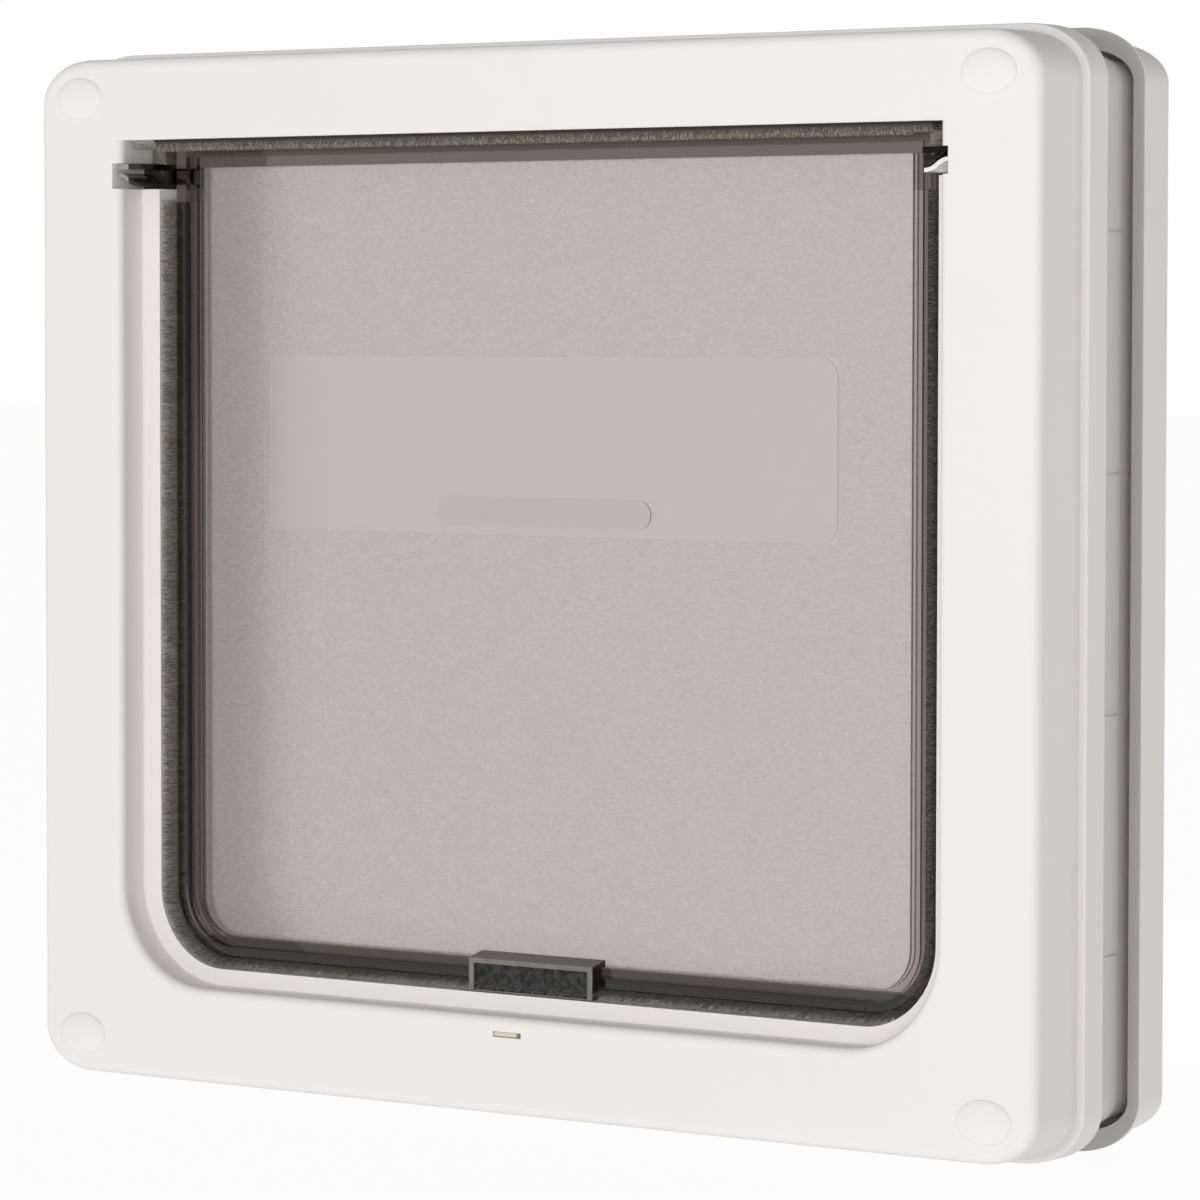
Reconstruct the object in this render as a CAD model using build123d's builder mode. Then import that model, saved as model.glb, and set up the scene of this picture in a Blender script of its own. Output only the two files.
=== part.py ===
"""Dog door with a smoked swing flap: two white moulded frames clamped either side of a door leaf.

Millimetres.  +X is to the right seen from the front, +Y runs from the front frame to the rear frame,
+Z is up.  The origin lies on the plane the two frame lips stand on, at mid width and mid depth.
"""
import os

from build123d import *

# Front and rear frames
frame_width = 371.4
frame_height = 322.6
corner_width = 19.0
corner_height = 13.5
face_round = 3.2
wall = 2.6
skin = 2.2
front_depth = 33.4
lip_depth = 10.2
lip_step = 2.4
lip_round = 0.8
door_gap = 20.6
rear_depth = 18.8
rear_wall = 2.2
rear_step = 1.4
rear_end = 3.8
flange_depth = 1.8

# Flap opening, set by the width of the bezel round it
bezel_side = 33.2
bezel_top = 25.7
bezel_bottom = 29.9
opening_corner = 32.0
opening_round = 2.6
ledge_round = 0.6
ledge_depth = 11.2
ledge_side = 7.0
ledge_bottom = 5.2
sleeve_depth = 50.0
sleeve_lap = 4.0
slide_gap = 0.4

# Liner that covers the cut edge of the door leaf
liner_inset = 5.7
liner_corner = 9.0
liner_lap = 1.4
seat_step = 0.7
score_pitch = 70.0
score_width = 0.9
score_depth = 0.7
rib_thick = 1.6
rib_depth = 14.0
rib_pitch_x = 72.0
rib_pitch_z = 78.0

# Flap
brush_space = 3.4
top_gap = 1.9
rim_front = 15.2
rim_step = 1.7
side_band = 4.5
end_band = 3.3
rim_round = 0.6
field_front = 18.7
field_thick = 2.4
groove_width = 4.8
groove_depth = 3.0
groove_lip = 0.8
label_width = 213.0
label_height = 54.5
label_corner = 6.0
label_drop = 94.9
plate_width = 80.0
plate_height = 8.6
plate_drop = 20.1
label_raise = 0.15
plate_raise = 0.5

# Pivots
pivot_drop = 11.2
pin_radius = 2.6
pin_play = 0.05
pin_grip = 4.9
pin_reach = 6.6
pocket_height = 8.0
pocket_reach = 10.0
pocket_depth = 28.0
block_play = 0.15
block_body = 12.4
block_front = 2.0
block_bar = 1.8
leaf_thick = 1.2
leaf_rise = 3.2

# Brush strips
backing_thick = 1.1
backing_width = 4.4
pile_width = 4.2
pile_gap = 0.35
brush_start = 8.0
strip_front = 2.0
strip_width = 6.0
strip_drop = 2.4
strip_backing = 0.8
strip_margin = 0.2
strip_end = 4.0

# Magnets
housing_half = 23.2
housing_front = 11.8
housing_rise = 12.0
housing_shoulder = 10.3
housing_lift = 0.4
magnet_half = 21.4
magnet_recess = 1.4
magnet_thick = 1.4
magnet_lift = 0.7
magnet_height = 8.2
magnet_play = 0.4
holder_half = 25.0
holder_floor = 3.4
holder_drop = 8.0
sill_magnet_half = 20.0
sill_magnet_depth = 9.0
slot_width = 10.5
slot_height = 1.7
slot_drop = 5.4
nib_play = 0.2
nib_sink = 0.5
nib_notch = 2.0

# Corner fixings
cap_inset_x = 16.8
cap_inset_z = 12.3
cap_half_width = 9.3
cap_half_height = 6.6
cap_height = 1.8
cap_stem = 4.2
head_boss = 6.5
head_pocket = 4.5
head_depth = 5.6
head_radius = 3.8
head_thick = 2.6
screw_radius = 2.0
screw_hole = 2.3
boss_radius = 4.2
boss_gap = 4.0
insert_radius = 2.9
insert_length = 10.0
insert_play = 0.03

# Depths behind the front face that follow from the sizes above
mid_depth = front_depth + door_gap / 2
rear_front = front_depth + door_gap
rear_back = rear_front + rear_depth
liner_back = rear_front + liner_lap
origin_depth = (rear_back - cap_height) / 2
lip_width = frame_width + 2 * lip_step
lip_height = frame_height + 2 * lip_step
mid_height = lip_height / 2
rear_side_inset = rear_step - lip_step
rear_end_inset = rear_end - lip_step
opening_width = frame_width - 2 * bezel_side
opening_top = frame_height / 2 - bezel_top
opening_bottom = bezel_bottom - frame_height / 2
liner_width = frame_width - 2 * liner_inset
liner_height = frame_height - 2 * liner_inset
pivot_height = opening_top - pivot_drop
label_centre = opening_top - label_drop
plate_centre = label_centre - plate_drop
slot_centre = opening_bottom - slot_drop
field_back = field_front + field_thick
axle_depth = field_front + field_thick / 2
rim_back = 2 * axle_depth - rim_front
sleeve_half = opening_width / 2 - ledge_side
sill = opening_bottom + ledge_bottom
rim_half = sleeve_half - brush_space
rim_low = sill + brush_space
field_low = rim_low + 2 * end_band
groove_centre = rim_front + groove_lip + groove_width / 2
brush_top = pivot_height - brush_start
strip_half = opening_width / 2 - strip_end
holder_depth = ledge_depth + 2 * skin + slide_gap / 2 + sill_magnet_depth / 2
magnet_centre = sill + magnet_lift + magnet_height / 2
magnet_back = housing_front + magnet_recess + magnet_thick
cap_x = frame_width / 2 - cap_inset_x
cap_z = frame_height / 2 - cap_inset_z
screw_spots = [(x, z) for x in (-cap_x, cap_x) for z in (-cap_z, cap_z)]
pocket_x = sleeve_half + pocket_reach / 2
pocket_spots = [(-pocket_x, pivot_height), (pocket_x, pivot_height)]


def at(depth):
    """Front-facing sketch plane at a depth behind the front face, x across and y up from mid height."""
    return Plane(origin=(0, depth - origin_depth, mid_height), x_dir=(1, 0, 0), z_dir=(0, -1, 0))


def across(x):
    """Side-facing sketch plane, x measured as depth behind the front face and y up from mid height."""
    return Plane(origin=(x, -origin_depth, mid_height), x_dir=(0, 1, 0), z_dir=(1, 0, 0))


def bezel(side, end):
    """Outline of the frame drawn in at its sides and at top and bottom, with quarter-ellipse corners."""
    half = frame_width / 2 - side
    high = frame_height / 2 - end
    reach = corner_width - side
    rise = corner_height - end
    with BuildSketch() as outline:
        with BuildLine():
            Line((0, high), (half - reach, high))
            EllipticalCenterArc((half - reach, high - rise), reach, rise, arc_size=90)
            Line((half, high - rise), (half, 0))
            mirror(about=Plane.XZ)
            mirror(about=Plane.YZ)
        make_face()
    return outline.sketch


def passage(side, top, bottom):
    """Outline of the flap opening drawn in by three amounts: square above, round at the lower corners."""
    half = opening_width / 2 - side
    high = opening_top - top
    low = opening_bottom + bottom
    with BuildSketch() as outline:
        with BuildLine():
            Polyline((-half, high), (-half, low), (half, low), (half, high), close=True)
        make_face()
        fillet(outline.vertices().group_by(Axis.Y)[0], opening_corner - side)
    return outline.sketch


def sleeve_line(inset):
    """Outline lying a distance inside the sleeve that the flap swings in."""
    return passage(ledge_side + inset, inset, ledge_bottom + inset)


def flap_line(side, end):
    """Outline inside the edge of the flap by one amount at the sides and another at top and bottom."""
    return passage(ledge_side + brush_space + side, top_gap + end, ledge_bottom + brush_space + end)


opening = passage(0, 0, 0)
reveal = passage(-skin, -skin, -skin)
sleeve_bore = sleeve_line(0)
sleeve_wall = sleeve_line(-skin)
rear_bore = sleeve_line(-skin - slide_gap)
rear_sleeve = sleeve_line(-2 * skin - slide_gap)
rim_line = flap_line(0, 0)
band_line = flap_line(side_band, end_band)
field_line = flap_line(2 * side_band, 2 * end_band)
groove_line = sleeve_line(brush_space + groove_depth)
backing_line = sleeve_line(brush_space + groove_depth - backing_thick)
pile_line = sleeve_line(pile_gap)

# Space in front of the ledge, rounded where its walls meet the ledge
with BuildPart() as opening_cutter:
    with BuildSketch(at(ledge_depth)):
        add(opening)
    extrude(amount=ledge_depth)
    back_edges = opening_cutter.faces().sort_by(Axis.Y)[-1].edges().sort_by(Axis.Z)
    fillet(back_edges[:-1], ledge_round)

# Front frame: bezel with a stepped lip, hollow at the back
with BuildPart() as front_frame:
    with BuildSketch(at(front_depth)):
        add(bezel(0, 0))
    extrude(amount=front_depth)
    with BuildSketch(at(front_depth)):
        add(bezel(-lip_step, -lip_step))
    extrude(amount=lip_depth)
    fillet(front_frame.faces().sort_by(Axis.Y)[0].edges(), face_round)
    ledge_faces = front_frame.faces().filter_by(Axis.Y).sort_by(Axis.Y)
    fillet(ledge_faces[1].outer_wire().edges(), lip_round)
    with BuildSketch(at(front_depth)):
        add(bezel(wall, wall))
    extrude(amount=front_depth - wall, mode=Mode.SUBTRACT)
    with BuildSketch(at(front_depth)):
        add(bezel(wall - lip_step, wall - lip_step))
    extrude(amount=lip_depth - wall, mode=Mode.SUBTRACT)
    # Reveal, ledge and sleeve round the flap, with a solid pad at each pivot
    with BuildSketch(at(ledge_depth + skin)):
        add(reveal)
    extrude(amount=ledge_depth + skin - wall / 2)
    with BuildSketch(at(sleeve_depth)):
        add(sleeve_wall)
    extrude(amount=sleeve_depth - ledge_depth)
    with BuildSketch(at(pocket_depth + skin)):
        with Locations(*pocket_spots):
            Rectangle(pocket_reach + 2 * skin, pocket_height + 2 * skin)
            Rectangle(pocket_reach + 2 * skin, pivot_drop + skin, align=(Align.CENTER, Align.MIN))
    extrude(amount=pocket_depth + skin - wall / 2)
    # Stiffening ribs from the bezel to the reveal
    for inner, outer in ((opening_top, frame_height / 2), (opening_bottom, -frame_height / 2)):
        with BuildSketch(at(rib_depth)):
            with Locations((0, (inner + outer) / 2)):
                with GridLocations(rib_pitch_x, 0, 4, 1):
                    Rectangle(rib_thick, abs(outer - inner) - wall)
        extrude(amount=rib_depth - wall / 2)
    with BuildSketch(at(rib_depth)):
        with GridLocations((opening_width + frame_width) / 2, rib_pitch_z, 2, 3):
            Rectangle((frame_width - opening_width) / 2 - wall, rib_thick)
    extrude(amount=rib_depth - wall / 2)
    # Screw bosses
    with BuildSketch(at(head_depth + skin)):
        with Locations(*screw_spots):
            Circle(head_boss)
    extrude(amount=head_depth + skin - wall / 2)
    with BuildSketch(at(mid_depth - boss_gap / 2)):
        with Locations(*screw_spots):
            Circle(boss_radius)
    extrude(amount=mid_depth - boss_gap / 2 - head_depth)
    # The opening itself, soft at its front edge except along the top
    add(opening_cutter.part, mode=Mode.SUBTRACT)
    with BuildSketch(at(sleeve_depth)):
        add(sleeve_bore)
    extrude(amount=sleeve_depth, mode=Mode.SUBTRACT)
    front_edges = front_frame.faces().sort_by(Axis.Y)[0].inner_wires()[0].edges().sort_by(Axis.Z)
    fillet(front_edges[:-1], opening_round)
    # Pivot pockets open to the front and to the sleeve, with the ledge cut back above them
    with BuildSketch(at(pocket_depth)):
        with Locations(*pocket_spots):
            Rectangle(pocket_reach, pocket_height)
        with Locations((0, pivot_height)):
            Rectangle(opening_width, pivot_drop, align=(Align.CENTER, Align.MIN))
    extrude(amount=pocket_depth, mode=Mode.SUBTRACT)
    # Screw holes, head pockets and the slot over the sill magnet
    with BuildSketch(at(head_depth)):
        with Locations(*screw_spots):
            Circle(head_pocket)
    extrude(amount=head_depth, mode=Mode.SUBTRACT)
    with BuildSketch(at(mid_depth)):
        with Locations(*screw_spots):
            Circle(screw_hole)
    extrude(amount=mid_depth - head_depth, mode=Mode.SUBTRACT)
    with BuildSketch(at(wall)):
        with Locations((0, slot_centre)):
            Rectangle(slot_width, slot_height)
    extrude(amount=wall, mode=Mode.SUBTRACT)

# Rear frame: shallower bezel with a thin flange, hollow towards the door leaf
with BuildPart() as rear_frame:
    with BuildSketch(at(rear_back)):
        add(bezel(rear_side_inset, rear_end_inset))
    extrude(amount=rear_depth)
    with BuildSketch(at(rear_front + flange_depth)):
        add(bezel(-lip_step, -lip_step))
    extrude(amount=flange_depth)
    fillet(rear_frame.faces().sort_by(Axis.Y)[-1].edges(), face_round)
    with BuildSketch(at(rear_back - wall)):
        add(bezel(rear_side_inset + rear_wall, rear_end_inset + rear_wall))
    extrude(amount=rear_depth - wall, mode=Mode.SUBTRACT)
    with BuildSketch(at(rear_back - wall / 2)):
        add(rear_sleeve)
    extrude(amount=rear_back - wall / 2 - sleeve_depth + sleeve_lap)
    # Inner wall that the end of the liner stands on, a step inside the liner's face
    with BuildSketch(at(rear_back - wall / 2)):
        RectangleRounded(liner_width - 2 * seat_step, liner_height - 2 * seat_step, liner_corner - seat_step)
        offset(amount=-rear_wall, mode=Mode.SUBTRACT)
    extrude(amount=rear_back - wall / 2 - liner_back)
    with BuildSketch(at(rear_back - wall / 2)):
        with Locations(*screw_spots):
            Circle(boss_radius)
    extrude(amount=rear_back - wall / 2 - mid_depth - boss_gap / 2)
    with BuildSketch(at(rear_back)):
        add(rear_bore)
    extrude(amount=rear_back - sleeve_depth + sleeve_lap, mode=Mode.SUBTRACT)
    fillet(rear_frame.faces().sort_by(Axis.Y)[-1].inner_wires()[0].edges(), opening_round)
    with BuildSketch(at(mid_depth + boss_gap / 2 + insert_length)):
        with Locations(*screw_spots):
            Circle(insert_radius)
    extrude(amount=insert_length, mode=Mode.SUBTRACT)
    with BuildSketch(at(rear_back - 2 * wall)):
        with Locations(*screw_spots):
            Circle(screw_hole)
    extrude(amount=rear_back - 2 * wall - mid_depth - boss_gap / 2, mode=Mode.SUBTRACT)

# Liner sleeve with scored panel lines along its length
with BuildPart() as tunnel_liner:
    with BuildSketch(at(liner_back)):
        RectangleRounded(liner_width, liner_height, liner_corner)
        offset(amount=-skin, mode=Mode.SUBTRACT)
    extrude(amount=liner_back - rib_depth)
    with BuildSketch(at(liner_back)):
        with GridLocations(liner_width, score_pitch, 2, 4):
            Rectangle(2 * score_depth, score_width)
        with GridLocations(score_pitch, liner_height, 4, 2):
            Rectangle(score_width, 2 * score_depth)
    extrude(amount=liner_back - rib_depth, mode=Mode.SUBTRACT)

# Flap: thin field inside a deep stepped rim that is grooved for the brush strips
with BuildPart() as flap_panel:
    with BuildSketch(at(rim_back)):
        add(rim_line)
    extrude(amount=rim_back - rim_front)
    with BuildSketch(at(rim_front + rim_step)):
        add(band_line)
    extrude(amount=rim_step, mode=Mode.SUBTRACT)
    with BuildSketch(at(field_front)):
        add(field_line)
    extrude(amount=field_front - rim_front, mode=Mode.SUBTRACT)
    with BuildSketch(at(rim_back)):
        add(band_line)
    extrude(amount=rim_step, mode=Mode.SUBTRACT)
    with BuildSketch(at(rim_back)):
        add(field_line)
    extrude(amount=rim_back - field_back, mode=Mode.SUBTRACT)
    rim_edges = flap_panel.faces().sort_by(Axis.Y)[0].outer_wire().edges()
    fillet(rim_edges, rim_round)
    with BuildSketch(at(field_front)):
        with Locations((0, label_centre)):
            RectangleRounded(label_width, label_height, label_corner)
    extrude(amount=label_raise)
    with BuildSketch(at(field_front)):
        with Locations((0, plate_centre)):
            SlotOverall(plate_width, plate_height)
    extrude(amount=plate_raise)
    with BuildSketch(at(groove_centre + groove_width / 2)):
        add(rim_line)
        add(groove_line, mode=Mode.SUBTRACT)
        with Locations((0, brush_top)):
            Rectangle(2 * opening_width, opening_width, align=(Align.CENTER, Align.MIN), mode=Mode.SUBTRACT)
    extrude(amount=groove_width, mode=Mode.SUBTRACT)
    for side in (-1, 1):
        with BuildSketch(across(side * rim_half)):
            with Locations((axle_depth, pivot_height)):
                Circle(pin_radius)
        extrude(amount=-side * pin_grip, mode=Mode.SUBTRACT)

# Pivot pins pressed into the upper corners of the flap rim
with BuildPart() as right_pivot_pin:
    with BuildSketch(across(rim_half - pin_grip)):
        with Locations((axle_depth, pivot_height)):
            Circle(pin_radius)
    extrude(amount=pin_grip + brush_space + pin_reach)
    chamfer(right_pivot_pin.faces().sort_by(Axis.X)[-1].edges(), pin_radius / 4)
with BuildPart() as left_pivot_pin:
    add(right_pivot_pin.part.mirror(Plane.YZ))

# Pivot blocks slid into the frame pockets from the front: bored body, stop bar and S-curved spring leaf
block_low = pivot_height - pocket_height / 2
block_high = pivot_height + pocket_height / 2 - block_play
block_in = sleeve_half + block_play
block_out = sleeve_half + pocket_reach
with BuildPart() as right_pivot_block:
    with BuildSketch(at(pocket_depth)):
        with Locations((block_in, block_low)):
            Rectangle(block_out - block_in, block_high - block_low, align=(Align.MIN, Align.MIN))
    extrude(amount=block_body)
    with BuildSketch(at(pocket_depth - block_body)):
        with Locations((block_in, block_high)):
            Rectangle(block_out - block_in, block_bar, align=(Align.MIN, Align.MAX))
        with BuildLine():
            foot = (block_in + leaf_thick / 2, block_low + leaf_thick)
            tip = (block_out - leaf_thick / 2, block_low + leaf_thick + leaf_rise)
            middle = ((foot[0] + tip[0]) / 2, (foot[1] + tip[1]) / 2)
            lower = TangentArc(foot, middle, tangent=(1, 0))
            TangentArc(middle, tip, tangent=lower % 1)
        trace(line_width=leaf_thick)
    extrude(amount=pocket_depth - block_body - block_front)
    with BuildSketch(across(sleeve_half)):
        with Locations((axle_depth, pivot_height)):
            Circle(pin_radius + pin_play)
    extrude(amount=pin_reach + 2 * pin_play, mode=Mode.SUBTRACT)
with BuildPart() as left_pivot_block:
    add(right_pivot_block.part.mirror(Plane.YZ))

# Brush strips: woven backing in the groove, pile standing out to the sleeve
with BuildPart() as side_brush_backing:
    with BuildSketch(at(groove_centre + backing_width / 2)):
        add(backing_line)
        add(groove_line, mode=Mode.SUBTRACT)
        with Locations((0, brush_top)):
            Rectangle(2 * opening_width, opening_width, align=(Align.CENTER, Align.MIN), mode=Mode.SUBTRACT)
    extrude(amount=backing_width)
with BuildPart() as side_brush_pile:
    with BuildSketch(at(groove_centre + pile_width / 2)):
        add(pile_line)
        add(backing_line, mode=Mode.SUBTRACT)
        with Locations((0, brush_top)):
            Rectangle(2 * opening_width, opening_width, align=(Align.CENTER, Align.MIN), mode=Mode.SUBTRACT)
    extrude(amount=pile_width)

# Brush strip fixed under the top of the opening, in front of the flap
with BuildPart() as top_brush_backing:
    with BuildSketch(at(strip_front + strip_width)):
        with Locations((0, opening_top)):
            Rectangle(2 * strip_half, strip_backing, align=(Align.CENTER, Align.MAX))
    extrude(amount=strip_width)
with BuildPart() as top_brush_pile:
    with BuildSketch(at(strip_front + strip_width - strip_margin)):
        with Locations((0, opening_top - strip_backing)):
            Rectangle(2 * strip_half, strip_drop - strip_backing, align=(Align.CENTER, Align.MAX))
    extrude(amount=strip_width - 2 * strip_margin)

# Clear housing over the lower rim, with the magnet let into its front
with BuildPart() as magnet_housing:
    with BuildSketch(across(-housing_half)):
        with BuildLine():
            Polyline(
                (housing_front, sill + housing_lift),
                (housing_front, sill + housing_shoulder),
                (field_front, sill + housing_rise),
                (field_front, field_low),
                (rim_front + rim_step, field_low),
                (rim_front + rim_step, rim_low + end_band),
                (rim_front, rim_low + end_band),
                (rim_front, sill + housing_lift),
                close=True,
            )
        make_face()
    extrude(amount=2 * housing_half)
    with BuildSketch(at(magnet_back)):
        with Locations((0, magnet_centre)):
            Rectangle(2 * magnet_half, magnet_height)
    extrude(amount=magnet_back - housing_front, mode=Mode.SUBTRACT)
with BuildPart() as flap_magnet:
    with BuildSketch(at(magnet_back)):
        with Locations((0, magnet_centre)):
            Rectangle(2 * magnet_half, magnet_height)
    extrude(amount=magnet_thick)

# Second magnet under the sill in a clipped holder whose notched nib shows in the slot
with BuildPart() as sill_magnet_holder:
    with BuildSketch(at(holder_depth + sill_magnet_depth / 2 + skin)):
        with Locations((0, sill - skin)):
            Rectangle(2 * holder_half, holder_drop + holder_floor, align=(Align.CENTER, Align.MAX))
    extrude(amount=sill_magnet_depth + 2 * skin)
    with BuildSketch(at(holder_depth)):
        with Locations((0, sill - skin - holder_drop)):
            Rectangle(2 * slot_width, holder_floor, align=(Align.CENTER, Align.MAX))
    extrude(amount=holder_depth - wall)
    with BuildSketch(at(holder_depth + sill_magnet_depth / 2)):
        with Locations((0, sill - skin)):
            Rectangle(2 * sill_magnet_half, holder_drop, align=(Align.CENTER, Align.MAX))
    extrude(amount=sill_magnet_depth, mode=Mode.SUBTRACT)
    with BuildSketch(at(wall)):
        with Locations((0, slot_centre)):
            Rectangle(slot_width - 2 * nib_play, slot_height - 2 * nib_play)
    extrude(amount=wall - nib_sink)
    with BuildSketch(at(wall)):
        with Locations((slot_width / 2, slot_centre)):
            Rectangle(nib_notch, slot_height, align=(Align.MAX, Align.CENTER))
    extrude(amount=wall, mode=Mode.SUBTRACT)
with BuildPart() as sill_magnet:
    with BuildSketch(at(holder_depth + sill_magnet_depth / 2)):
        with Locations((0, sill - skin - holder_drop)):
            Rectangle(2 * sill_magnet_half, holder_drop - magnet_play, align=(Align.CENTER, Align.MIN))
    extrude(amount=sill_magnet_depth)

# Corner fixings, four of each
with BuildPart() as cap_dome:
    Sphere(cap_half_height)
    scale(by=(cap_half_width / cap_half_height, cap_height / cap_half_height, 1))
    split(bisect_by=Plane.XZ, keep=Keep.TOP)
with BuildPart() as screw_caps:
    with Locations(at(0)):
        with Locations(*[(x, z, 0) for x, z in screw_spots]):
            add(cap_dome.part.rotate(Axis.X, -90))
    with BuildSketch(at(wall)):
        with Locations(*screw_spots):
            Circle(cap_stem)
    extrude(amount=wall)
with BuildPart() as frame_screws:
    with BuildSketch(at(head_depth)):
        with Locations(*screw_spots):
            Circle(head_radius)
    extrude(amount=head_thick)
    with BuildSketch(at(mid_depth + boss_gap / 2 + insert_length)):
        with Locations(*screw_spots):
            Circle(screw_radius)
    extrude(amount=mid_depth + boss_gap / 2 + insert_length - head_depth)
    with BuildSketch(at(head_depth - head_thick / 2)):
        with Locations(*screw_spots):
            Rectangle(head_radius, head_radius / 5)
            Rectangle(head_radius / 5, head_radius)
    extrude(amount=head_thick / 2, mode=Mode.SUBTRACT)
with BuildPart() as threaded_inserts:
    with BuildSketch(at(mid_depth + boss_gap / 2 + insert_length)):
        with Locations(*screw_spots):
            Circle(insert_radius)
            Circle(screw_radius + insert_play, mode=Mode.SUBTRACT)
    extrude(amount=insert_length)

pieces = {
    "front_frame": front_frame,
    "rear_frame": rear_frame,
    "tunnel_liner": tunnel_liner,
    "flap_panel": flap_panel,
    "left_pivot_pin": left_pivot_pin,
    "right_pivot_pin": right_pivot_pin,
    "left_pivot_block": left_pivot_block,
    "right_pivot_block": right_pivot_block,
    "side_brush_backing": side_brush_backing,
    "side_brush_pile": side_brush_pile,
    "top_brush_backing": top_brush_backing,
    "top_brush_pile": top_brush_pile,
    "magnet_housing": magnet_housing,
    "flap_magnet": flap_magnet,
    "sill_magnet_holder": sill_magnet_holder,
    "sill_magnet": sill_magnet,
    "screw_caps": screw_caps,
    "frame_screws": frame_screws,
    "threaded_inserts": threaded_inserts,
}
os.makedirs("parts", exist_ok=True)
for name, piece in pieces.items():
    piece.part.label = name
    export_step(piece.part, f"parts/{name}.step")
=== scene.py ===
"""Dog door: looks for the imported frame, in metres.  +X right, +Y to the rear, +Z up."""
import math

import bpy
import numpy as np
from mathutils import Matrix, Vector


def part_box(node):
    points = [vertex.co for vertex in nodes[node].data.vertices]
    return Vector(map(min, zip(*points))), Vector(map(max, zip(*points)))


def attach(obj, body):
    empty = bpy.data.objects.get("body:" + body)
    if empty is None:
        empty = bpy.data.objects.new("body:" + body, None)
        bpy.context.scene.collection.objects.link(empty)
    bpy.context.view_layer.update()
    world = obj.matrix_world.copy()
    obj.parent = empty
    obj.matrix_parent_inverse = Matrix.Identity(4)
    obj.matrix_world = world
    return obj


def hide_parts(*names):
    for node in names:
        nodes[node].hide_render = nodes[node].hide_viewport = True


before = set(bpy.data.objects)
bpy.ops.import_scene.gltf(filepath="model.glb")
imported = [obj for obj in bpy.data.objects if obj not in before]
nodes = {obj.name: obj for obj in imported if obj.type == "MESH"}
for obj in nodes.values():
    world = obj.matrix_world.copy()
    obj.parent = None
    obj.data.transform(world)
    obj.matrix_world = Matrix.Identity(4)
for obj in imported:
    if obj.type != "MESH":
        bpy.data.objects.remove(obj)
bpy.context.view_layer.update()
MM = 0.001
rng = np.random.default_rng(7)

# Places with a tone or finish of their own: centre and half sizes of a box, in millimetres.
# The flange face, the flap's side lands and ends, and the pivot blocks' bars, leaf and cheek hold painted shade
# and painted light.
STRIP_END = (-145.5, -30.5, 297.0), (5.5, 6.5, 4.0)
FLANGE_FACE_SHADE = (0, 18.5, 163.7), (190.0, 0.3, 170.0)
FLAP_FIELD = (0, -15.6, 169.15), (133.4, 2.3, 121.9)
FLAP_SIDES = (0, -15.6, 163.6), (145.0, 8.0, 116.4)
FLAP_WALLS = (0, -15.6, 163.6), (137.6, 8.0, 116.4)
FLAP_LABEL = (0, -17.2, 204.4), (106.5, 0.45, 27.25)
FLAP_FOOT = (0, -15.6, 42.0), (145.0, 8.0, 5.5)
RIGHT_BAR_SHADE = (150.5, -26.7, 291.1), (6.0, 7.5, 0.97)
LEFT_BAR_SHADE = (-150.5, -22.5, 291.1), (6.0, 5.0, 0.97)
RIGHT_LEAF_HIGHLIGHT = (78.0, -26.7, 287.0), (78.0, 7.0, 3.1)
LEFT_CHEEK_LIGHT = (-153.5, -29.0, 288.0), (3.0, 5.0, 5.0)
HOUSING_FRONT = (0, -23.6, 44.0), (25.0, 0.35, 10.0)
HOUSING_CORE = (0, -20.0, 44.0), (22.9, 20.0, 20.0)


def linear(code):
    """sRGB hex to linear RGBA: c / 12.92 in the toe, ((c + 0.055) / 1.055) ** 2.4 above it."""
    c = np.array([int(code[i:i + 2], 16) for i in (1, 3, 5)]) / 255.0
    lin = np.where(c <= 0.04045, c / 12.92, ((c + 0.055) / 1.055) ** 2.4)
    return (*lin.tolist(), 1.0)


def add(tree, kind, values=None, links=None, **settings):
    """Adds one shader node: settings are its properties, values its inputs, links the outputs that feed it."""
    made = tree.nodes.new(kind)
    for name, value in settings.items():
        setattr(made, name, value)
    for key, value in (values or {}).items():
        made.inputs[key].default_value = value
    for key, output in (links or {}).items():
        tree.links.new(output, made.inputs[key])
    return made


def material(name):
    """An empty node material with its output node and object coordinates."""
    made = bpy.data.materials.new(name)
    made.use_nodes = True
    tree = made.node_tree
    tree.nodes.clear()
    out = add(tree, "ShaderNodeOutputMaterial")
    return made, tree, out, add(tree, "ShaderNodeTexCoord").outputs["Object"]


def inside(tree, place, box):
    """1 inside a box given by its centre and half sizes in millimetres, 0 outside it."""
    centre, half = box
    shifted = add(tree, "ShaderNodeVectorMath", {1: [c * MM for c in centre]}, {0: place},
                  operation="SUBTRACT")
    size = add(tree, "ShaderNodeVectorMath", None, {0: shifted.outputs[0]}, operation="ABSOLUTE")
    axes = add(tree, "ShaderNodeSeparateXYZ", None, {0: size.outputs[0]})
    result = None
    for axis, limit in enumerate(half):
        test = add(tree, "ShaderNodeMath", {1: limit * MM}, {0: axes.outputs[axis]},
                   operation="LESS_THAN").outputs[0]
        if result:
            test = add(tree, "ShaderNodeMath", None, {0: result, 1: test}, operation="MULTIPLY").outputs[0]
        result = test
    return result


def dress(mat, *names):
    """Puts a material on CAD nodes."""
    for name in names:
        nodes[name].data.materials.clear()
        nodes[name].data.materials.append(mat)


# Materials

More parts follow.
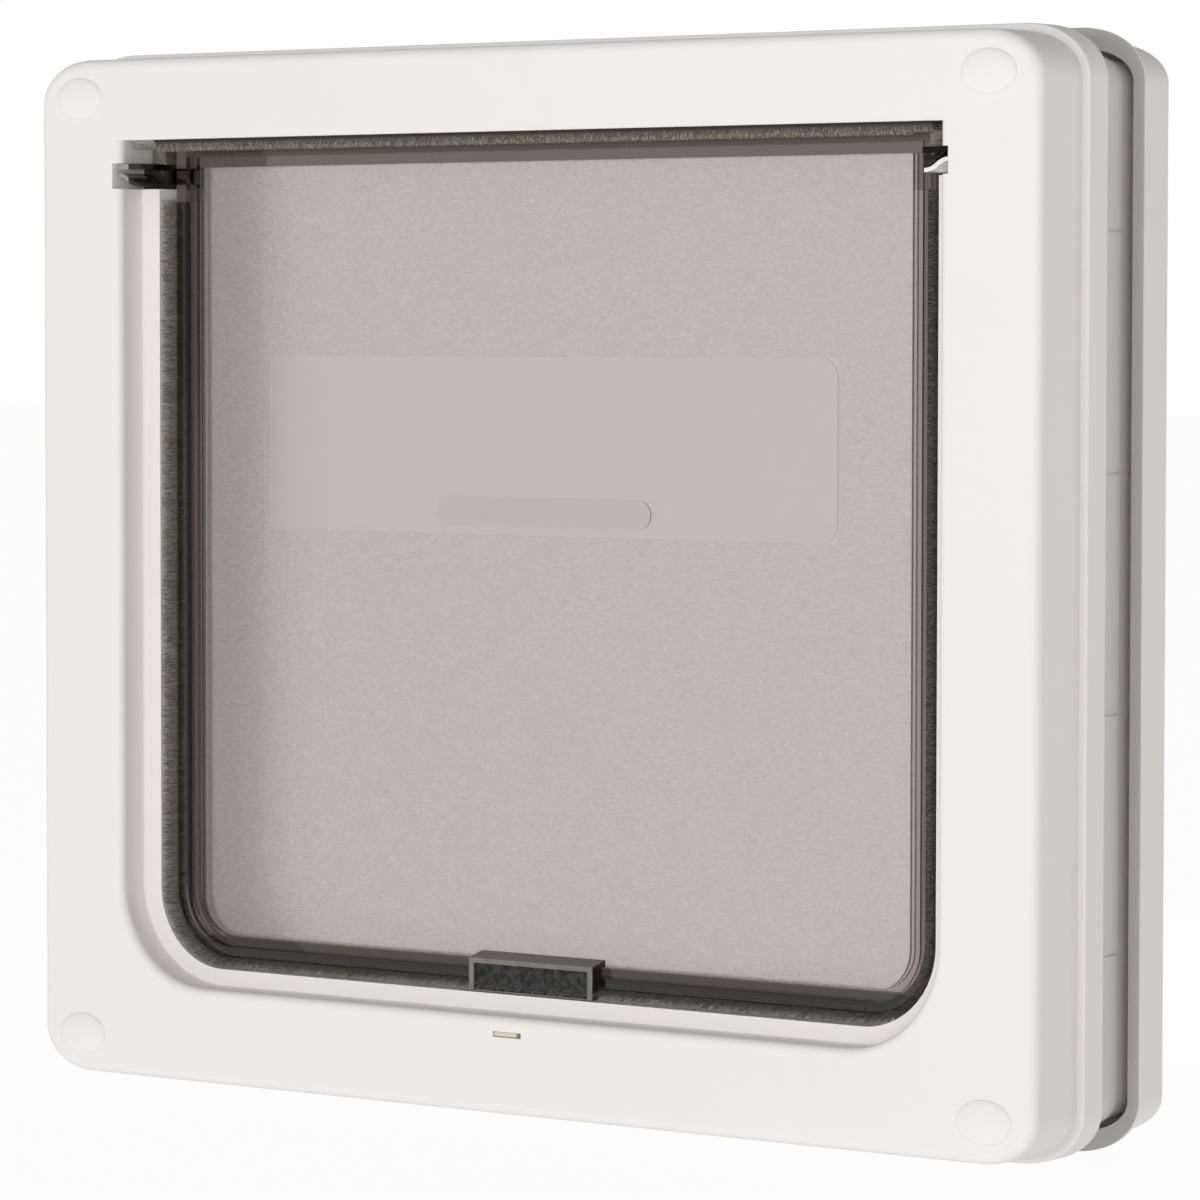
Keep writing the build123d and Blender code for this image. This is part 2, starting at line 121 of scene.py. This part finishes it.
def moulded(name, code, other, roughness, grain_mm=0.9, grain=0.03, painted_shade_box=None, painted_shade_tone=None):
    """Injection-moulded plastic: satin, with a faint spark-eroded grain and slow drifts of tone and gloss.

    Where a box is given, painted shade lies inside it: there the plastic takes the darker tone given with the
    box."""
    mat, tree, out, place = material(name)
    noise = add(tree, "ShaderNodeTexNoise", {"Scale": 1 / (grain_mm * MM), "Detail": 2.0}, {"Vector": place})
    bump = add(tree, "ShaderNodeBump", {"Strength": grain, "Distance": 0.05 * MM},
               {"Height": noise.outputs["Fac"]})
    drift = add(tree, "ShaderNodeTexNoise", {"Scale": 1 / (45 * MM), "Detail": 3.0},
                {"Vector": place}).outputs["Fac"]
    tone = add(tree, "ShaderNodeMix", {6: linear(code), 7: linear(other)}, {"Factor": drift},
               data_type="RGBA")
    if painted_shade_box:
        tone = add(tree, "ShaderNodeMix", {7: linear(painted_shade_tone)},
                   {"Factor": inside(tree, place, painted_shade_box), 6: tone.outputs[2]}, data_type="RGBA")
    gloss = add(tree, "ShaderNodeMath", {1: 0.08, 2: roughness - 0.04}, {0: drift}, operation="MULTIPLY_ADD")
    shade = add(tree, "ShaderNodeBsdfPrincipled", {"IOR": 1.53},
                {"Base Color": tone.outputs[2], "Roughness": gloss.outputs[0],
                 "Normal": bump.outputs["Normal"]})
    tree.links.new(shade.outputs["BSDF"], out.inputs["Surface"])
    return mat


def smoked(name, roughness, depth_per_m, tint):
    """Smoked polycarbonate: clear and glossy, with the tint held in the mass so that thick parts go dark."""
    mat, tree, out, place = material(name)
    noise = add(tree, "ShaderNodeTexNoise", {"Scale": 1 / (5 * MM), "Detail": 1.0}, {"Vector": place})
    bump = add(tree, "ShaderNodeBump", {"Strength": 0.1, "Distance": 0.1 * MM},
               {"Height": noise.outputs["Fac"]})
    shade = add(tree, "ShaderNodeBsdfPrincipled",
                {"Base Color": (1, 1, 1, 1), "Roughness": roughness, "IOR": 1.5, "Transmission Weight": 1.0},
                {"Normal": bump.outputs["Normal"]})
    mass = add(tree, "ShaderNodeVolumeAbsorption", {"Color": linear(tint), "Density": depth_per_m})
    tree.links.new(shade.outputs["BSDF"], out.inputs["Surface"])
    tree.links.new(mass.outputs["Volume"], out.inputs["Volume"])
    return mat


def flap_plastic():
    """Smoked polycarbonate of the flap: glossy rim with painted shade in its side lands and at its top and
    bottom ends, frosted field, and a smoother label panel and plate.  The frost is grain of about a millimetre,
    drawn out sideways."""
    mat, tree, out, place = material("smoked polycarbonate")
    field = inside(tree, place, FLAP_FIELD)
    sides = inside(tree, place, FLAP_SIDES)
    walls = inside(tree, place, FLAP_WALLS)
    label = inside(tree, place, FLAP_LABEL)
    foot = inside(tree, place, FLAP_FOOT)
    # The rim's tones are painted shade: darker at the top end and in the side lands, darkest at the foot.
    end_painted_shade = add(tree, "ShaderNodeMix", {6: linear("#B1B1AA"), 7: linear("#6F695D")}, {"Factor": foot},
                   data_type="RGBA")
    land_painted_shade = add(tree, "ShaderNodeMix", {6: linear("#AAA29B"), 7: linear("#ECE8E5")}, {"Factor": walls},
                    data_type="RGBA")
    rim = add(tree, "ShaderNodeMix", None, {"Factor": sides, 6: end_painted_shade.outputs[2], 7: land_painted_shade.outputs[2]},
              data_type="RGBA")
    frosted = add(tree, "ShaderNodeMath", None, {0: field, 1: label}, operation="SUBTRACT",
                  use_clamp=True).outputs[0]
    rough = add(tree, "ShaderNodeMath", {1: 0.22, 2: 0.06}, {0: field}, operation="MULTIPLY_ADD").outputs[0]
    drawn = add(tree, "ShaderNodeVectorMath", {1: (0.5, 1.0, 1.0)}, {0: place}, operation="MULTIPLY").outputs[0]
    grain = add(tree, "ShaderNodeTexNoise", {"Scale": 1 / (0.85 * MM), "Detail": 1.0, "Distortion": 0.9},
                {"Vector": drawn}).outputs["Fac"]
    frost = add(tree, "ShaderNodeMix", {6: linear("#D6CBCB"), 7: linear("#FFFFFF")}, {"Factor": grain},
                data_type="RGBA")
    plain = add(tree, "ShaderNodeMix", {7: linear("#F8F3F2")}, {"Factor": label, 6: frost.outputs[2]},
                data_type="RGBA")
    tone = add(tree, "ShaderNodeMix", None, {"Factor": field, 6: rim.outputs[2], 7: plain.outputs[2]},
               data_type="RGBA")
    height = add(tree, "ShaderNodeMath", None, {0: grain, 1: frosted}, operation="MULTIPLY").outputs[0]
    bump = add(tree, "ShaderNodeBump", {"Strength": 0.6, "Distance": 0.2 * MM}, {"Height": height})
    clear = add(tree, "ShaderNodeMath", {1: -0.12, 2: 1.0}, {0: field}, operation="MULTIPLY_ADD").outputs[0]
    shade = add(tree, "ShaderNodeBsdfPrincipled", {"IOR": 1.58},
                {"Base Color": tone.outputs[2], "Roughness": rough, "Transmission Weight": clear,
                 "Normal": bump.outputs["Normal"]})
    mass = add(tree, "ShaderNodeVolumeAbsorption", {"Color": linear("#B6A4A0"), "Density": 300.0})
    tree.links.new(shade.outputs["BSDF"], out.inputs["Surface"])
    tree.links.new(mass.outputs["Volume"], out.inputs["Volume"])
    return mat


def block_plastic():
    """Clear polycarbonate of the pivot blocks: brown body; the stop bars painted black as dark reflection and
    shade, the right leaf painted bright as a reflection, and the left cheek painted pale grey as light coming
    through the clear plastic against the shade of the pocket wall; these painted parts are nearly opaque."""
    mat, tree, out, place = material("clear polycarbonate")
    bar = add(tree, "ShaderNodeMath", None,
              {0: inside(tree, place, RIGHT_BAR_SHADE), 1: inside(tree, place, LEFT_BAR_SHADE)},
              operation="MAXIMUM").outputs[0]
    leaf = inside(tree, place, RIGHT_LEAF_HIGHLIGHT)
    cheek = inside(tree, place, LEFT_CHEEK_LIGHT)
    body = add(tree, "ShaderNodeMix", {6: linear("#75695E"), 7: linear("#A29E93")}, {"Factor": cheek},
               data_type="RGBA")
    body = add(tree, "ShaderNodeMix", {7: linear("#F1EFEA")}, {"Factor": leaf, 6: body.outputs[2]},
               data_type="RGBA")
    tone = add(tree, "ShaderNodeMix", {7: linear("#0D0B0A")}, {"Factor": bar, 6: body.outputs[2]},
               data_type="RGBA")
    pale = add(tree, "ShaderNodeMath", None, {0: leaf, 1: cheek}, operation="MAXIMUM").outputs[0]
    solid = add(tree, "ShaderNodeMath", None, {0: bar, 1: pale}, operation="MAXIMUM").outputs[0]
    clear = add(tree, "ShaderNodeMath", {1: -0.75, 2: 0.85}, {0: solid}, operation="MULTIPLY_ADD").outputs[0]
    noise = add(tree, "ShaderNodeTexNoise", {"Scale": 1 / (2 * MM), "Detail": 1.0}, {"Vector": place})
    bump = add(tree, "ShaderNodeBump", {"Strength": 0.15, "Distance": 0.1 * MM},
               {"Height": noise.outputs["Fac"]})
    shade = add(tree, "ShaderNodeBsdfPrincipled",
                {"Roughness": 0.12, "IOR": 1.5, "Specular IOR Level": 0.25},
                {"Base Color": tone.outputs[2], "Transmission Weight": clear, "Normal": bump.outputs["Normal"]})
    tree.links.new(shade.outputs["BSDF"], out.inputs["Surface"])
    return mat


def housing_plastic():
    """Lightly smoked polycarbonate of the magnet housing: brown and half clear, with streaks a few millimetres
    long, dark flanks and a paler front edge."""
    mat, tree, out, place = material("lightly smoked polycarbonate")
    front = inside(tree, place, HOUSING_FRONT)
    core = inside(tree, place, HOUSING_CORE)
    streak = add(tree, "ShaderNodeTexNoise", {"Scale": 1 / (6 * MM), "Detail": 2.0},
                 {"Vector": place}).outputs["Fac"]
    mass = add(tree, "ShaderNodeMix", {6: linear("#5A4F46"), 7: linear("#94877B")}, {"Factor": streak},
               data_type="RGBA")
    body = add(tree, "ShaderNodeMix", {6: linear("#3A332D")}, {"Factor": core, 7: mass.outputs[2]},
               data_type="RGBA")
    edge = add(tree, "ShaderNodeMix", {6: linear("#5F5B54"), 7: linear("#A39E93")}, {"Factor": streak},
               data_type="RGBA")
    tone = add(tree, "ShaderNodeMix", None, {"Factor": front, 6: body.outputs[2], 7: edge.outputs[2]},
               data_type="RGBA")
    clear = add(tree, "ShaderNodeMath", {1: -0.4, 2: 0.65}, {0: front}, operation="MULTIPLY_ADD").outputs[0]
    shade = add(tree, "ShaderNodeBsdfPrincipled", {"Roughness": 0.15, "IOR": 1.5},
                {"Base Color": tone.outputs[2], "Transmission Weight": clear})
    tree.links.new(shade.outputs["BSDF"], out.inputs["Surface"])
    return mat


def mottled(name, code, other, roughness, metallic=0.0, patch_mm=4.0, contrast=1.0):
    """Opaque finish whose tone wanders between two colours over a few millimetres."""
    mat, tree, out, place = material(name)
    noise = add(tree, "ShaderNodeTexNoise", {"Scale": 1 / (patch_mm * MM), "Detail": 5.0, "Distortion": 0.6},
                {"Vector": place})
    share = add(tree, "ShaderNodeMath", {1: contrast, 2: 0.5 - contrast / 2}, {0: noise.outputs["Fac"]},
                operation="MULTIPLY_ADD", use_clamp=True)
    tone = add(tree, "ShaderNodeMix", {6: linear(code), 7: linear(other)}, {"Factor": share.outputs[0]},
               data_type="RGBA")
    shade = add(tree, "ShaderNodeBsdfPrincipled", {"Roughness": roughness, "Metallic": metallic},
                {"Base Color": tone.outputs[2]})
    tree.links.new(shade.outputs["BSDF"], out.inputs["Surface"])
    return mat


def brush(name, dark, light, thread_mm=None):
    """Matt brush material between a dark and a light tone, paler at the left end of the top strip.

    With thread_mm it is woven tape, in waves of thread of that width; without it, each wool fibre has its own
    tone, kept in the mesh."""
    mat, tree, out, place = material(name)
    if thread_mm:
        share = add(tree, "ShaderNodeTexWave",
                    {"Scale": 1 / (thread_mm * MM * 2 * math.pi), "Distortion": 1.0}, {"Vector": place})
    else:
        share = add(tree, "ShaderNodeAttribute", attribute_name="tone")
    mix = add(tree, "ShaderNodeMix", {6: linear(dark), 7: linear(light)}, {"Factor": share.outputs["Fac"]},
              data_type="RGBA")
    left_end_paler = inside(tree, place, STRIP_END)
    mix = add(tree, "ShaderNodeMix", {7: linear("#8C897E")}, {"Factor": left_end_paler, 6: mix.outputs[2]},
              data_type="RGBA")
    shade = add(tree, "ShaderNodeBsdfPrincipled", {"Roughness": 0.85}, {"Base Color": mix.outputs[2]})
    tree.links.new(shade.outputs["BSDF"], out.inputs["Surface"])
    return mat


white_abs = moulded("white satin ABS", "#EAE6E2", "#E8E4E1", 0.42)
# The rear frame's flange face is painted grey: painted shade of the front frame falling over the gap.
rear_abs = moulded("white satin ABS with painted shade on its flange face", "#EAE6E2", "#E8E4E1", 0.42,
                   painted_shade_box=FLANGE_FACE_SHADE, painted_shade_tone="#BEBAB4")
liner_abs = moulded("off-white liner ABS", "#ECE9E2", "#E9E6DF", 0.5)
cap_abs = moulded("white cap ABS", "#EAE8E5", "#E8E6E3", 0.4)
beige_pp = moulded("beige polypropylene", "#D3CFB8", "#CDC9B2", 0.5)
flap_pc = flap_plastic()
pin_pc = smoked("dark smoked polycarbonate", 0.1, 4000.0, "#8A7A6A")
block_pc = block_plastic()
housing_pc = housing_plastic()
pile_wool = brush("wool pile", "#24221E", "#B5AE9C")
backing = brush("woven backing", "#24221F", "#3A3731", thread_mm=0.5)
ferrite = mottled("black ferrite magnet", "#060706", "#3F423F", 0.6, patch_mm=2.2, contrast=3.5)
zinc_steel = mottled("zinc plated steel", "#A9A9A6", "#C4C4C0", 0.35, 1.0)
insert_brass = mottled("brass", "#BF9A52", "#D2AF67", 0.35, 1.0)

dress(white_abs, "front_frame")
dress(rear_abs, "rear_frame")
dress(liner_abs, "tunnel_liner")
dress(cap_abs, "screw_caps")
dress(flap_pc, "flap_panel")
dress(pin_pc, "left_pivot_pin", "right_pivot_pin")
dress(block_pc, "left_pivot_block", "right_pivot_block")
dress(housing_pc, "magnet_housing")
dress(backing, "side_brush_pile", "top_brush_pile", "side_brush_backing", "top_brush_backing")
dress(ferrite, "flap_magnet", "sill_magnet")
dress(beige_pp, "sill_magnet_holder")
dress(zinc_steel, "frame_screws")
dress(insert_brass, "threaded_inserts")


# Brush pile

def u_path(half, top, low, radius, s):
    """Points and outward directions at distances s along a U: down the left side, round a quarter circle,
    along the bottom, round again and up the right side."""
    side, quarter, base = top - low - radius, math.pi / 2 * radius, 2 * (half - radius)
    a, b, c, d = np.cumsum([side, quarter, base, quarter])
    turn = (np.clip(s - a, 0, quarter) + np.clip(s - c, 0, quarter)) / radius
    out = np.stack([-np.cos(turn), 0 * s, -np.sin(turn)], 1)
    x = radius - half + np.clip(s - b, 0, base)
    z = low + radius + np.maximum(a - s, 0) + np.maximum(s - d, 0)
    return np.stack([x, 0 * s, z], 1) + radius * out, out


def run_path(start, end, out, s):
    """Points at distances s along a straight run from start to end, all with one outward direction."""
    start, end = np.array(start), np.array(end)
    way = (end - start) / np.linalg.norm(end - start)
    return start + s[:, None] * way, np.tile(np.array(out, float), (len(s), 1))


ROOTED = 0.42       # fibres stand this share of the strip's width to each side of its middle
SWEPT = 0.85        # share of the sweep past which tips are held back
CORE_TOP = 0.45     # the core strip ends this share of a fibre's height short of the tips
CORE_STEP = 1.5 * MM


def pile(name, path, length, count, depth, width, height, sweep, body, node=None, core=True, pale=0.0,
         rise=0.75, thick=(0.05, 0.12), low=None):
    """Pile of three-sided fibres, a point at the root and blunt at the tip: each stands on a random spot of the
    strip and leans a little at random, fanning out towards the edges; a plain core strip may lie under them.

    path gives points on the line of the tips and outward directions; depth and width place the strip in Y;
    height is the length of a fibre; sweep is how far the foremost fibres lean to the front; pale lifts all
    tones; rise is the least share of its height that a fibre stands out; thick is the range of tip radii in
    millimetres; low gives the least height of a tip for its place across the opening."""
    s = rng.uniform(0, length, count)
    spread = rng.uniform(-1, 1, count)
    tip_line, out = path(s)
    deep = np.array([0.0, 1.0, 0.0])
    along = np.cross(out, deep)
    root = tip_line - out * height + deep * (depth + spread * width * ROOTED)[:, None]
    lean = along * (rng.normal(0, 0.2, count) * height)[:, None]
    forward = sweep * np.sqrt(0.5 - 0.5 * spread) * rng.uniform(0.5, 1.05, count)
    lean += deep * (spread * width * 0.2 + rng.normal(0, 0.1, count) * height - forward)[:, None]
    tip = root + out * (height * rng.uniform(rise, 1.0, count))[:, None] + lean
    tip[:, 1] = np.maximum(tip[:, 1], depth - width * ROOTED - sweep * SWEPT)
    if low:
        tip[:, 2] = np.maximum(tip[:, 2], low(tip[:, 0]))
    size = rng.uniform(*thick, count) * MM
    angle = rng.uniform(0, 2 * math.pi, count)[:, None] + np.arange(3) * 2 * math.pi / 3
    ring = (tip[:, None] + size[:, None, None] * (np.cos(angle)[..., None] * along[:, None]
                                                  + np.sin(angle)[..., None] * deep))
    points = np.concatenate([ring, root[:, None]], 1).reshape(-1, 3)
    fibre = np.array([[0, 1, 3], [1, 2, 3], [2, 0, 3], [0, 2, 1]])
    faces = (np.arange(count)[:, None, None] * 4 + fibre).reshape(-1, 3).tolist()
    tone = np.repeat(np.clip(rng.beta(0.8, 1.5, count) + pale, 0, 1), 4)
    if core:
        steps = np.linspace(0, length, max(2, int(length / CORE_STEP)))
        line, way = path(steps)
        corners = np.array([[-1.0, -ROOTED], [-CORE_TOP, -ROOTED], [-CORE_TOP, ROOTED], [-1.0, ROOTED]])
        strip = (line[:, None] + way[:, None] * (corners[:, 0] * height)[:, None]
                 + deep * (depth + corners[:, 1] * width)[:, None])
        row = np.arange(len(steps) - 1)[:, None, None] * 4
        quad = np.array([[k, (k + 1) % 4, (k + 1) % 4 + 4, k + 4] for k in range(4)])
        ends = np.array([[3, 2, 1, 0], [0, 1, 2, 3] + 4 * (len(steps) - 1) * np.ones(4, int)])
        faces += (np.concatenate([(row + quad).reshape(-1, 4), ends]) + len(points)).tolist()
        points = np.concatenate([points, strip.reshape(-1, 3)])
        tone = np.concatenate([tone, np.full(4 * len(steps), 0.12)])
    mesh = bpy.data.meshes.new(name)
    mesh.from_pydata(points.tolist(), [], faces)
    held = mesh.attributes.new("tone", "FLOAT", "POINT")
    held.data.foreach_set("value", tone.astype(np.float32))
    mesh.materials.append(pile_wool)
    mesh.update()
    made = bpy.data.objects.new(name, mesh)
    bpy.context.scene.collection.objects.link(made)
    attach(made, body)
    if node:
        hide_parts(node)


# Side strip, which moves with the flap
U_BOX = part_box("side_brush_pile")
U_HALF, U_LOW, U_TOP = U_BOX[1].x, U_BOX[0].z, U_BOX[1].z
U_RADIUS = 24.65 * MM
U_LENGTH = 2 * (U_TOP - U_LOW - U_RADIUS) + math.pi * U_RADIUS + 2 * (U_HALF - U_RADIUS)
U_DEPTH = (U_BOX[0].y + U_BOX[1].y) / 2
pile("side_pile_fibres", lambda s: u_path(U_HALF, U_TOP, U_LOW, U_RADIUS, s), U_LENGTH, 44000, U_DEPTH,
     U_BOX[1].y - U_BOX[0].y, 2.9 * MM, 6.4 * MM, "flap", "side_brush_pile", pale=0.22, rise=-0.3)

# Top strip, fixed to the frame, with shorter fibres where the side strip swings past its ends
T_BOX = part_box("top_brush_pile")
T_LOW = T_BOX[0].z - 1.4 * MM
PASSING, PASSING_LOW = 139.5 * MM, 296.4 * MM
pile("top_pile_fibres", lambda s: run_path((T_BOX[0].x, 0, T_LOW), (T_BOX[1].x, 0, T_LOW), (0, 0, -1), s),
     T_BOX[1].x - T_BOX[0].x, 20000, (T_BOX[0].y + T_BOX[1].y) / 2, T_BOX[1].y - T_BOX[0].y,
     T_BOX[1].z - T_LOW, 0.4 * MM, "frame", "top_brush_pile", pale=0.3, rise=0.2,
     low=lambda x: np.where(np.abs(x) > PASSING, PASSING_LOW, 0.0))

# Short tufts on the frame beside the upper corners of the flap, above the pivot blocks
TUFT_X, TUFT_LOW = 145.5 * MM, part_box("right_pivot_block")[1].z + 0.6 * MM
for side in (-1, 1):
    pile(("left" if side < 0 else "right") + "_corner_tuft",
         lambda s: run_path((side * TUFT_X, 0, TUFT_LOW), (side * TUFT_X, 0, T_BOX[0].z), (-side, 0, 0), s),
         T_BOX[0].z - TUFT_LOW, 2400, U_DEPTH - (8.4 * MM if side > 0 else 0), 6 * MM, 7.0 * MM,
         1.5 * MM, "frame", core=False, pale=0.2)


# Stage

def seen_rays(tree):
    """1 for rays that show the background, which are camera rays and rays through clear plastic; then 1 for
    mirror rays."""
    path = add(tree, "ShaderNodeLightPath").outputs
    seen = add(tree, "ShaderNodeMath", None, {0: path["Is Camera Ray"], 1: path["Is Transmission Ray"]},
               operation="MAXIMUM")
    return seen.outputs[0], path["Is Glossy Ray"]


def stage_floor(seen_share, light_share):
    """Pale floor, mostly white to seeing rays, with the rest of it kept for the shadow of the object."""
    mat, tree, out, place = material("studio floor")
    part = add(tree, "ShaderNodeMath", {1: seen_share - light_share, 2: light_share}, {0: seen_rays(tree)[0]},
               operation="MULTIPLY_ADD").outputs[0]
    grain = add(tree, "ShaderNodeTexNoise", {"Scale": 40.0}, {"Vector": place})
    tone = add(tree, "ShaderNodeMix", {6: linear("#F2F2F1"), 7: linear("#F5F5F4")},
               {"Factor": grain.outputs["Fac"]}, data_type="RGBA")
    matt = add(tree, "ShaderNodeBsdfDiffuse", None, {"Color": tone.outputs[2]})
    glow = add(tree, "ShaderNodeEmission", {"Color": (1, 1, 1, 1), "Strength": 1.0})
    mix = add(tree, "ShaderNodeMixShader", None, {0: part, 1: matt.outputs[0], 2: glow.outputs[0]})
    tree.links.new(mix.outputs[0], out.inputs["Surface"])
    reach = 12.0
    mesh = bpy.data.meshes.new("floor")
    corners = [(-reach, -reach, 0), (reach, -reach, 0), (reach, reach, 0), (-reach, reach, 0)]
    mesh.from_pydata(corners, [], [(0, 1, 2, 3)])
    mesh.materials.append(mat)
    floor = bpy.data.objects.new("floor", mesh)
    bpy.context.scene.collection.objects.link(floor)


def stage_world(ambient, slope, mirror):
    """White to seeing rays; as light a dimmer white that rises mostly towards the left; dimmer still in mirror
    rays."""
    world = bpy.data.worlds.new("studio")
    bpy.context.scene.world = world
    world.use_nodes = True
    tree = world.node_tree
    tree.nodes.clear()
    out = add(tree, "ShaderNodeOutputWorld")
    seen, glossy = seen_rays(tree)
    way = add(tree, "ShaderNodeTexCoord").outputs["Generated"]
    rise = add(tree, "ShaderNodeVectorMath", {1: slope}, {0: way}, operation="DOT_PRODUCT").outputs["Value"]
    level = add(tree, "ShaderNodeMath", {1: ambient}, {0: rise}, operation="ADD").outputs[0]
    level = add(tree, "ShaderNodeMix", {3: mirror}, {"Factor": glossy, 2: level}).outputs[0]
    level = add(tree, "ShaderNodeMix", {3: 1.0}, {"Factor": seen, 2: level}).outputs[0]
    sky = add(tree, "ShaderNodeBackground", {"Color": (1, 1, 1, 1)}, {"Strength": level})
    tree.links.new(sky.outputs[0], out.inputs["Surface"])


def lamp(name, place, aim, size, power):
    """Square soft box turned to face a point."""
    data = bpy.data.lights.new(name, "AREA")
    data.size = size
    data.energy = power
    made = bpy.data.objects.new(name, data)
    made.location = place
    made.visible_camera = made.visible_glossy = made.visible_transmission = False
    away = np.array(aim, float) - np.array(place, float)
    tilt = math.acos(-away[2] / np.linalg.norm(away))
    made.rotation_euler = (tilt, 0, math.atan2(away[1], away[0]) - math.pi / 2)
    bpy.context.scene.collection.objects.link(made)


stage_floor(0.96, 0.5)
stage_world(0.52, (-0.34, 0.05, -0.1), 0.42)
MIDDLE = (0, 0, 0.16)
lamp("key", (0.0, -2.6, 0.2), MIDDLE, 0.9, 33)
lamp("fill", (1.55, -1.55, 0.25), MIDDLE, 0.7, 10)
lamp("side", (2.4, -0.35, 0.35), MIDDLE, 0.7, 2)
lamp("back", (1.6, 2.0, 0.3), MIDDLE, 0.9, 8)
lamp("tunnel", (0.08, 0.55, 0.2), (-0.145, 0.03, 0.17), 0.25, 1.1)

# Camera at the photograph's angle
YAW, PITCH, ROLL = map(math.radians, (35.614, 2.847, 0.073))
camera_data = bpy.data.cameras.new("camera")
camera_data.lens = 164.07
camera_data.sensor_width = 36.0
camera_data.clip_end = 100.0
camera = bpy.data.objects.new("camera", camera_data)
camera.matrix_world = (Matrix.Translation((0.97989, -1.35539, 0.24031)) @ Matrix.Rotation(YAW, 4, "Z")
                       @ Matrix.Rotation(math.pi / 2 - PITCH, 4, "X") @ Matrix.Rotation(ROLL, 4, "Z"))
bpy.context.scene.collection.objects.link(camera)
bpy.context.scene.camera = camera
bpy.context.scene.view_settings.view_transform = "Standard"
